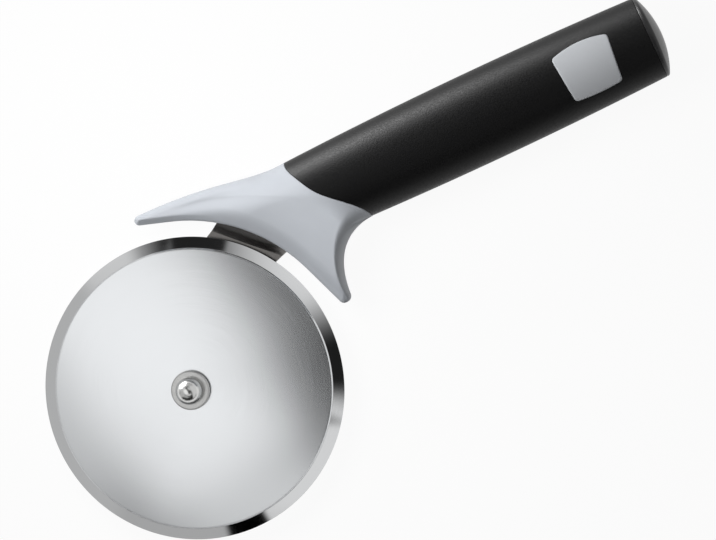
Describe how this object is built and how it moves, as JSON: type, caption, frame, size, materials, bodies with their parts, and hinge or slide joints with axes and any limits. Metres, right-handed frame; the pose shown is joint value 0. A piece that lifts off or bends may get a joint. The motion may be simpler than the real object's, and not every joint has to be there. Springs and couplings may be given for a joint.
{
  "type": "pizza cutter wheel",
  "caption": "Pizza cutter: domed steel wheel turning on a ball-headed axle, curved steel arm, winged finger guard and oval handle with a soft dark cover.",
  "frame": {"origin": "on the surface that the cutter lies on, under the middle of its bounding box", "axes": "+X along the handle to its capped end, +Z along the axle towards the wheel's domed front"},
  "size_m": [0.2366, 0.109, 0.025],
  "materials": {
    "blade_steel": "satin dome with a mirror-polished rim bevel",
    "polished_steel": "polished stainless steel",
    "arm_steel": "brushed stainless sheet",
    "pin_steel": "cut wire",
    "slip_plastic": "natural acetal",
    "grey_plastic": "light grey moulded plastic, matt",
    "core_plastic": "dark moulded plastic",
    "soft_black": "black soft-touch skin with a fine spark-eroded grain",
    "cap_plastic": "black moulded plastic, matt"
  },
  "bodies": {
    "handle": {"axle_pin": "polished_steel", "axle_collar": "polished_steel", "front_slip_washer": "slip_plastic", "rear_slip_washer": "slip_plastic", "rear_washer": "polished_steel", "axle_nut": "polished_steel", "wheel_arm": "arm_steel", "guard": "grey_plastic", "grip_core": "core_plastic", "tang_pins": "pin_steel", "grip_cover": "soft_black", "badge": "grey_plastic", "end_cap": "cap_plastic"},
    "wheel": {"blade_wheel": "blade_steel", "hub_bush": "slip_plastic"}
  },
  "joints": [
    {"name": "wheel_spin", "type": "hinge", "parent": "handle", "child": "wheel", "pos_m": [-0.06835, -0.00447, 0.011], "axis": [0, 0, 1], "continuous": true}
  ]
}
